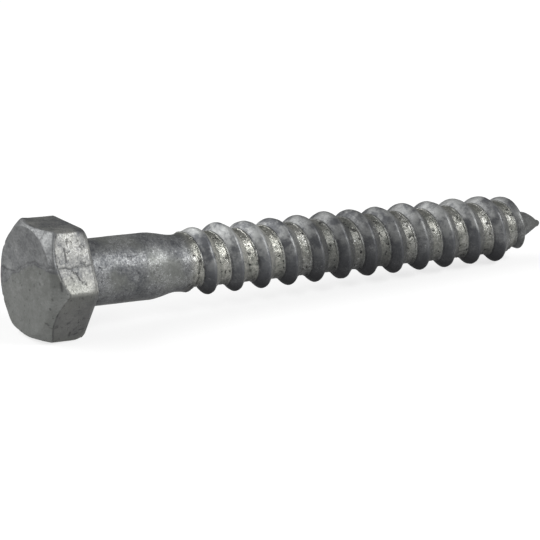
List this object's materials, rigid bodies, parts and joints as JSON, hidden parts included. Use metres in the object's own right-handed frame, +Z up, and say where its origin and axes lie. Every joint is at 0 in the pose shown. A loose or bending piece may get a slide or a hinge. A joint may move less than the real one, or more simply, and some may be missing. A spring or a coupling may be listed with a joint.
{
  "type": "lag screw",
  "caption": "Hex-head lag screw with a plain shank, a coarse right-hand wood thread and a gimlet point, driven by a wrench to hold timber or brackets.",
  "frame": {"origin": "centre of the bearing face under the head, on the axis of the shank", "axes": "+X from the head to the point, +Z up; the screw lies on one flat of its head and on its last full thread crest, so its axis dips 2.76 degrees below +X towards the point"},
  "size_m": [0.0869, 0.0184, 0.0163],
  "materials": {
    "galvanised_steel": "hot-dip galvanised: dull mottled grey zinc, rough and pitted in the thread roots, smoother and darker on the thread flanks"
  },
  "bodies": {
    "root": {"lag_screw": "galvanised_steel"}
  },
  "joints": []
}
